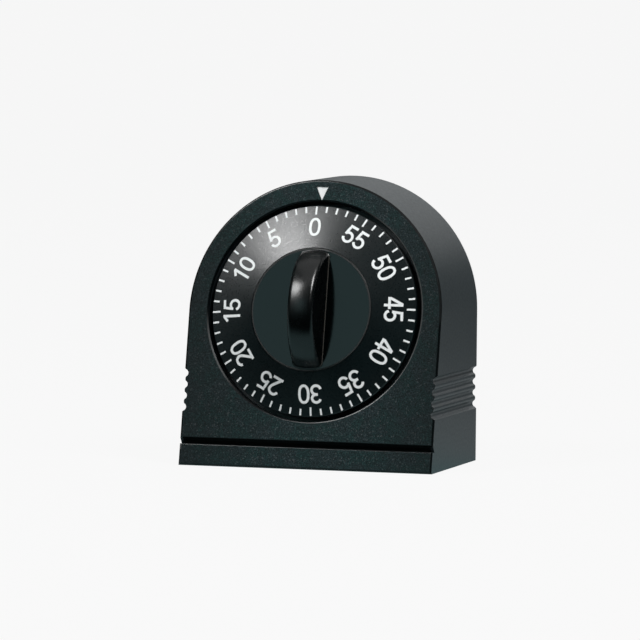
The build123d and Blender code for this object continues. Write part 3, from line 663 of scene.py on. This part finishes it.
# Dial print
def minute_marks(material):
    """Sixty marks on the cone, every fifth one longer, as instances round a circle."""
    tree = new_tree("minute_marks")
    sizes = {
        "Minor Outer": minor_outer,
        "Minor Inner": minor_inner,
        "Major Outer": major_outer,
        "Major Inner": major_inner,
        "Width": mark_width,
        "Thickness": print_lift + print_sink,
        "Inner Radius": cone_inner[0],
        "Inner Height": cone_inner[1],
        "Slope": cone_slope,
        "Lift": (print_lift - print_sink) / 2,
    }
    settings = {new_input(tree, "Count", "NodeSocketInt"): minute_count}
    for name, value in sizes.items():
        settings[new_input(tree, name, "NodeSocketFloat")] = value
    given = tree.nodes.new("NodeGroupInput").outputs
    index = tree.nodes.new("GeometryNodeInputIndex").outputs[0]
    turn = math(tree, "DIVIDE", times(tree, index, 2 * pi), given["Count"])
    in_fives = math(tree, "MODULO", index, float(marks_per_number))
    is_major = math(tree, "LESS_THAN", in_fives, 0.5)

    def pick(name):
        minor, major = given["Minor " + name], given["Major " + name]
        return math(tree, "MULTIPLY_ADD", is_major, math(tree, "SUBTRACT", major, minor), minor)

    outer, inner = pick("Outer"), pick("Inner")
    length = math(tree, "SUBTRACT", outer, inner)
    radius = times(tree, math(tree, "ADD", outer, inner), 0.5)
    from_inner = math(tree, "SUBTRACT", radius, given["Inner Radius"])
    level = math(tree, "MULTIPLY_ADD", from_inner, given["Slope"], given["Inner Height"])
    height = math(tree, "ADD", level, given["Lift"])
    across = times(tree, math(tree, "SINE", turn), times(tree, radius, -1.0))
    up = times(tree, math(tree, "COSINE", turn), radius)
    spot = node(tree, "ShaderNodeCombineXYZ", X=across, Y=up, Z=height)
    lean = math(tree, "ARCTANGENT", given["Slope"])
    facing = node(tree, "ShaderNodeCombineXYZ", X=lean, Z=turn)
    size = node(tree, "ShaderNodeCombineXYZ", X=given["Width"], Y=length, Z=given["Thickness"])
    points = node(tree, "GeometryNodePoints", Count=given["Count"], Position=spot.outputs[0])
    bar = node(tree, "GeometryNodeMeshCube")
    bar.inputs["Size"].default_value = (1, 1, 1)
    placed = node(
        tree,
        "GeometryNodeInstanceOnPoints",
        Points=points.outputs[0],
        Instance=bar.outputs[0],
        Rotation=facing.outputs[0],
        Scale=size.outputs[0],
    )
    hand_out(tree, placed.outputs[0], material)
    piece = grown(bpy.data.meshes.new("minute_marks"), "minute_marks", tree, settings)
    piece.data.transform(print_place)
    return piece


# Digits, drawn as strokes on a body one unit high
digit_width = 0.63
stroke = 0.14
half_stroke = stroke / 2
arc_steps = 20
trim_distance = 1e-7


def arc(centre, across, up, start, end, square=2.0):
    """Points on an oval, or a squarer one, between two angles in degrees."""
    points = []
    for number in range(arc_steps + 1):
        angle = radians(start + (end - start) * number / arc_steps)
        c, s = cos(angle), sin(angle)
        x = abs(c) ** (2 / square) * (1 if c >= 0 else -1)
        y = abs(s) ** (2 / square) * (1 if s >= 0 else -1)
        points.append((centre[0] + across * x, centre[1] + up * y))
    return points


def line(start, end, steps=8):
    (x, y), (end_x, end_y) = start, end
    numbers = range(steps + 1)
    return [(x + (end_x - x) * n / steps, y + (end_y - y) * n / steps) for n in numbers]


def digit_strokes():
    """For each digit, its strokes as (points, closed, clips).

    A clip (x, y, dx, dy) keeps the side it points to.
    """
    w = digit_width
    reach = w / 2 - half_stroke
    top, bottom = 1 - half_stroke, half_stroke
    waist = 0.525
    waist_left, waist_right = (0.225, waist), (w / 2 - 0.02, waist)
    right_bowl = (w / 2, 0.71)
    high_bowl = (w / 2, (top + waist) / 2)
    low_bowl = (w / 2, (bottom + waist) / 2)
    five_bowl = (w / 2 - 0.01, 0.325)
    five_rise = five_bowl[1] - bottom
    one_stem = 0.4
    stem = w - 0.13 - half_stroke
    bar_level = 0.285
    return {
        "0": [(arc((w / 2, 0.5), reach, 0.5 - half_stroke, 0, 360, 2.35), True, [])],
        "1": [
            (line((one_stem, 0), (one_stem, 1)), False, []),
            (
                line((one_stem, 0.96), (0.13, 0.735), 5),
                False,
                [(one_stem - half_stroke, 0, -1, 0)],
            ),
        ],
        "2": [
            (
                arc(right_bowl, reach, top - right_bowl[1], 172, -28)
                + line((w / 2 + reach * 0.80, 0.545), (0.085, 0.03), 10),
                False,
                [(0, stroke, 0, 1)],
            ),
            (line((0.015, half_stroke), (w - 0.005, half_stroke)), False, []),
        ],
        "3": [
            (
                arc(high_bowl, reach * 0.93, top - high_bowl[1], 168, -90)
                + line(waist_right, waist_left, 3),
                False,
                [(0, waist, 0, 1)],
            ),
            (
                line(waist_left, waist_right, 3)
                + arc(low_bowl, reach, low_bowl[1] - bottom, 90, -168),
                False,
                [(0, waist, 0, -1)],
            ),
        ],
        "4": [
            (line((stem, 0), (stem, 1)), False, []),
            (line((0, bar_level), (stem - half_stroke, bar_level)), False, []),
            (line((stem + half_stroke, bar_level), (w, bar_level), 2), False, []),
            (
                line((stem - 0.01, 1.0), (0.035, bar_level + 0.02), 10),
                False,
                [
                    (0, bar_level + half_stroke, 0, 1),
                    (stem - half_stroke, 0, -1, 0),
                    (0, 1, 0, -1),
                ],
            ),
        ],
        "5": [
            (line((0.11, top), (w - 0.045, top)), False, []),
            (line((0.165, 1 - stroke), (0.105, 0.43)), False, [(0, 1 - stroke, 0, -1)]),
            (arc(five_bowl, reach, five_rise, 128, -165), False, []),
        ],
    }


def stroke_faces(shape, points, closed):
    """Ribbon of one stroke's width along its points."""
    count = len(points) - 1 if closed else len(points)
    rims = []
    for number in range(count):
        before = points[(number - 1) % count] if closed or number else points[number]
        after = points[(number + 1) % count] if closed or number < count - 1 else points[number]
        run = Vector((after[0] - before[0], after[1] - before[1])).normalized()
        side = Vector((-run.y, run.x)) * half_stroke
        spot = Vector(points[number])
        rims.append([shape.verts.new((*(spot + side), 0)), shape.verts.new((*(spot - side), 0))])
    following = rims[1:] + rims[:1] if closed else rims[1:]
    for one, two in zip(rims, following):
        shape.faces.new([one[0], one[1], two[1], two[0]])


def digit_shape(digit):
    """One digit as flat faces, its strokes trimmed so that they meet edge to edge."""
    whole = bmesh.new()
    for points, closed, clips in digit_strokes()[digit]:
        ribbon = bmesh.new()
        stroke_faces(ribbon, points, closed)
        for x, y, dx, dy in clips:
            bmesh.ops.bisect_plane(
                ribbon,
                geom=ribbon.verts[:] + ribbon.edges[:] + ribbon.faces[:],
                dist=trim_distance,
                plane_co=(x, y, 0),
                plane_no=(dx, dy, 0),
                clear_inner=True,
            )
        mesh = bpy.data.meshes.new("stroke")
        ribbon.to_mesh(mesh)
        ribbon.free()
        whole.from_mesh(mesh)
        bpy.data.meshes.remove(mesh)
    return whole


def dial_numerals(material):
    """Numbers that grow anticlockwise round the cone, with their feet towards the centre."""
    print_shape = bmesh.new()
    digits = {digit: digit_shape(digit) for digit in "012345"}
    step = digit_width * (1 + digit_gap_share)
    for number in range(0, minute_count, marks_per_number):
        turn = 2 * pi * number / minute_count
        label = str(number)
        start = -(step * (len(label) - 1) + digit_width) / 2
        for place, digit in enumerate(label):
            copied = {}
            for vertex in digits[digit].verts:
                x = (start + step * place + vertex.co.x) * numeral_height
                y = numeral_radius + (vertex.co.y - 0.5) * numeral_height
                u = x * cos(turn) - y * sin(turn)
                v = x * sin(turn) + y * cos(turn)
                h = cone_height(hypot(u, v)) + print_lift
                copied[vertex] = print_shape.verts.new((u, v, h))
            for flat in digits[digit].faces:
                print_shape.faces.new([copied[vertex] for vertex in flat.verts])
    for shape in digits.values():
        shape.free()
    bmesh.ops.recalc_face_normals(print_shape, faces=print_shape.faces)
    flats = print_shape.faces[:]
    thick = bmesh.ops.extrude_face_region(print_shape, geom=flats, use_keep_orig=True)
    lowered = [item for item in thick["geom"] if isinstance(item, bmesh.types.BMVert)]
    bmesh.ops.translate(print_shape, verts=lowered, vec=(0, 0, -print_lift - print_sink))
    bmesh.ops.recalc_face_normals(print_shape, faces=print_shape.faces)
    piece = piece_of(print_shape, "dial_numerals")
    piece.data.transform(print_place)
    piece.data.materials.append(material)
    return piece


# Cover screws
def screw_places():
    """Middle of each head's outer face, the heads' radius and the screws' length."""
    points = [vertex.co for vertex in nodes["cover_screws"].data.vertices]
    middle = (min(p.z for p in points) + max(p.z for p in points)) / 2
    groups = {}
    for point in points:
        groups.setdefault((point.x > 0, point.z > middle), []).append(point)
    places = []
    for group in groups.values():
        low = Vector([min(p[axis] for p in group) for axis in range(3)])
        high = Vector([max(p[axis] for p in group) for axis in range(3)])
        places.append(((low.x + high.x) / 2, high.y, (low.z + high.z) / 2))
    radius = (high.x - low.x) / 2
    length = high.y - low.y
    return places, radius, length


def lathe(shape, profile, segments):
    """Closed body of (radius, depth) steps turned about Y. A radius of zero makes one point."""
    rings = []
    turns = [2 * pi * number / segments for number in range(segments)]
    for radius, depth in profile:
        if radius == 0:
            ring = [shape.verts.new((0, depth, 0))]
        else:
            ring = [shape.verts.new((radius * cos(t), depth, radius * sin(t))) for t in turns]
        rings.append(ring)
    for one, two in zip(rings, rings[1:]):
        for number in range(segments):
            after = (number + 1) % segments
            corners = [one[number % len(one)], one[after % len(one)]]
            corners += [two[after % len(two)], two[number % len(two)]]
            shape.faces.new(list(dict.fromkeys(corners)))
    bmesh.ops.recalc_face_normals(shape, faces=shape.faces)


def screw_profile(radius, length, head):
    """Domed head and threaded shank as (radius, depth) steps."""
    dome = head * head_dome_share
    shank = radius * shank_share
    crest = shank * crest_share
    root = shank * root_share
    pitch = length * pitch_share
    profile = [(0, 0)]
    for number in range(1, dome_steps + 1):
        angle = pi / 2 * number / dome_steps
        profile.append((radius * sin(angle) * dome_width_share, -dome * (1 - cos(angle))))
    profile += [(radius, -head), (root, -head)]
    depth = -head
    while depth - pitch > -length + pitch:
        for reach, share in zip((root, crest, root), thread_shares):
            profile.append((reach, depth - pitch * share))
        depth -= pitch
    profile.append((0, -length))
    return profile


def cross_recess(radius, head):
    """Two crossed blades, narrower at their foot, that cut the recess."""
    cross = bmesh.new()
    reach = radius * recess_reach_share
    width = radius * recess_width_share
    deep = head * recess_depth_share
    for turn in (0, pi / 2):
        for vertex in bmesh.ops.create_cube(cross, size=1.0)["verts"]:
            at_top = vertex.co.y > 0
            taper = 1.0 if at_top else recess_taper
            x = vertex.co.x * 2 * reach * taper
            y = deep * recess_rise_share if at_top else -deep
            z = vertex.co.z * width * taper
            vertex.co = (x * cos(turn) - z * sin(turn), y, x * sin(turn) + z * cos(turn))
    bmesh.ops.recalc_face_normals(cross, faces=cross.faces)
    return piece_of(cross, "recess")


def one_screw(radius, length):
    """Pan-head screw with its outer face at the origin, pointing along +Y."""
    head = length * head_share
    shape = bmesh.new()
    lathe(shape, screw_profile(radius, length, head), screw_segments)
    screw = piece_of(shape, "screw")
    cutter = cross_recess(radius, head)
    cut = screw.modifiers.new("recess", "BOOLEAN")
    cut.object = cutter
    cut.operation = "DIFFERENCE"
    cut.solver = "EXACT"
    cut.use_self = True
    finished(screw)
    bpy.data.objects.remove(cutter)
    shape = bmesh.new()
    shape.from_mesh(screw.data)
    sharpened(shape, crease_angle)
    shape.to_mesh(screw.data)
    shape.free()
    return screw


def cover_screws(material):
    """The four cover screws as instances of one, at the places of the solids."""
    places, radius, length = screw_places()
    screw = one_screw(radius, length)
    tree = new_tree("cover_screws")
    new_input(tree, "Geometry", "NodeSocketGeometry")
    settings = {
        new_input(tree, "Screw", "NodeSocketObject"): screw,
        new_input(tree, "Turn Step", "NodeSocketFloat"): screw_turn_step,
    }
    given = tree.nodes.new("NodeGroupInput").outputs
    source = node(tree, "GeometryNodeObjectInfo", Object=given["Screw"])
    index = tree.nodes.new("GeometryNodeInputIndex").outputs[0]
    facing = node(tree, "ShaderNodeCombineXYZ", Y=times(tree, index, given["Turn Step"]))
    placed = node(
        tree,
        "GeometryNodeInstanceOnPoints",
        Points=given["Geometry"],
        Instance=source.outputs["Geometry"],
        Rotation=facing.outputs[0],
    )
    hand_out(tree, placed.outputs[0], material)
    spots = bpy.data.meshes.new("cover_screw_set")
    spots.from_pydata(places, [], [])
    piece = grown(spots, "cover_screw_set", tree, settings)
    bpy.data.objects.remove(screw)
    return piece


# Studio
def seen_share(tree, rays):
    """One for rays from the camera, straight or through a clear piece."""
    return math(tree, "ADD", rays["Is Camera Ray"], rays["Is Transmission Ray"], clamp=True)


def paper():
    """Pale sheet: white to the camera with a soft shadow, and clear from below.

    In gloss it is dimmer and tinted, and dark in front of the timer.
    """
    material, tree, out = empty_material("studio_paper")
    sheet = node(tree, "ShaderNodeBsdfDiffuse", Color=(paper_grey,) * 3)
    rays = node(tree, "ShaderNodeLightPath").outputs
    in_gloss = rays["Is Glossy Ray"]
    depth = node(tree, "ShaderNodeSeparateXYZ", Vector=object_place(tree)).outputs["Y"]
    near_to_far = ramp(tree, depth, *gloss_fall, gloss_near, gloss_far)
    level = times(tree, ramp(tree, depth, *gloss_edge), near_to_far)
    tint = blend(tree, ramp(tree, depth, *tint_fall), shade_tint, paper_tint)
    glow = node(
        tree,
        "ShaderNodeEmission",
        Color=blend(tree, in_gloss, white, tint),
        Strength=blend_number(tree, in_gloss, paper_glow, level),
    )
    share = math(tree, "MULTIPLY_ADD", seen_share(tree, rays), 1 - shadow_share, in_gloss)
    upper = blend_shader(tree, share, sheet.outputs[0], glow.outputs[0])
    lower = node(tree, "ShaderNodeBsdfTransparent").outputs[0]
    from_below = node(tree, "ShaderNodeNewGeometry").outputs["Backfacing"]
    tree.links.new(blend_shader(tree, from_below, upper, lower), out.inputs[0])
    return material


def studio_sweep():
    """Paper sheet that lies under the timer and curves up behind it."""
    profile = [(-floor_front, -floor_gap), (floor_back, -floor_gap)]
    for number in range(1, sweep_steps + 1):
        angle = pi / 2 * number / sweep_steps
        y = floor_back + sweep_radius * sin(angle)
        profile.append((y, sweep_radius * (1 - cos(angle))))
    profile.append((floor_back + sweep_radius, backdrop_top))
    points = [(side * floor_half_width, y, z) for y, z in profile for side in (-1, 1)]
    faces = [(2 * n, 2 * n + 1, 2 * n + 3, 2 * n + 2) for n in range(len(profile) - 1)]
    mesh = bpy.data.meshes.new("studio_sweep")
    mesh.from_pydata(points, [], faces)
    mesh.materials.append(paper())
    for polygon in mesh.polygons:
        polygon.use_smooth = True
    sweep = link(mesh, "studio_sweep")


def softbox(name, direction, distance, width, height, radiance, tint):
    """Soft light that faces the timer, given by how bright its front looks."""
    lamp = bpy.data.lights.new(name, "AREA")
    lamp.shape = "RECTANGLE"
    lamp.size = width
    lamp.size_y = height
    lamp.energy = radiance * pi * width * height
    lamp.color = tint
    holder = bpy.data.objects.new(name, lamp)
    aim = Vector(direction).normalized()
    holder.location = view_target + aim * distance
    holder.rotation_euler = aim.to_track_quat("Z", "Y").to_euler()
    bpy.context.scene.collection.objects.link(holder)


def studio_light():
    """Softboxes in a room that is white to the camera and dim to the timer."""
    world = bpy.data.worlds.new("studio")
    world.use_nodes = True
    bpy.context.scene.world = world
    tree = world.node_tree
    seen = seen_share(tree, node(tree, "ShaderNodeLightPath").outputs)
    background = tree.nodes["Background"].inputs
    feed(tree, background["Color"], blend(tree, seen, shade_tint, white))
    feed(tree, background["Strength"], blend_number(tree, seen, room_glow, 1 - shadow_share))
    for name, settings in softboxes.items():
        softbox(name, *settings)


def camera():
    across, ahead = cos(view_yaw), sin(view_yaw)
    back = Vector((ahead * cos(view_rise), -across * cos(view_rise), sin(view_rise)))
    level = Vector((across, ahead, 0))
    upright = back.cross(level)
    right = level * cos(view_roll) + upright * sin(view_roll)
    up = upright * cos(view_roll) - level * sin(view_roll)
    lens = bpy.data.cameras.new("photo_camera")
    lens.sensor_width = sensor_width_mm
    lens.lens = focal_pixels / image_pixels * sensor_width_mm
    holder = bpy.data.objects.new("photo_camera", lens)
    turn = Matrix((right, up, back)).transposed().to_4x4()
    spot = view_target + back * view_distance + right * view_offset_right + up * view_offset_up
    holder.matrix_world = Matrix.Translation(spot) @ turn
    bpy.context.scene.collection.objects.link(holder)
    bpy.context.scene.camera = holder


# The timer
case_finish = case_plastic()
skin("front_housing", "housing_shell", case_finish)
skin("rear_cover", "rear_cover_panel", case_finish)
skin("numeral_dial", "dial_ring", dial_plastic())
skin("winding_knob", "knob_grip", knob_plastic())
skin("zero_pointer", "pointer_triangle", pointer_plastic())

print_finish = white_print()
for printed in (minute_marks(print_finish), dial_numerals(print_finish)):
    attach(printed, "dial")

steel = metal("steel_drawn")
finishes = {"brass": metal("brass_stamped"), "bell_steel": metal("bell_plated")}
screws = cover_screws(metal("screw_zinc"))
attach(screws, "case")
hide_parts("cover_screws")

for part in subparts:
    inner = nodes[part["node"]]
    if not inner.hide_render:
        inner.data.materials.clear()
        inner.data.materials.append(finishes.get(part["material_slot"], steel))

studio_sweep()
studio_light()
camera()
bpy.context.scene.view_settings.view_transform = "Standard"
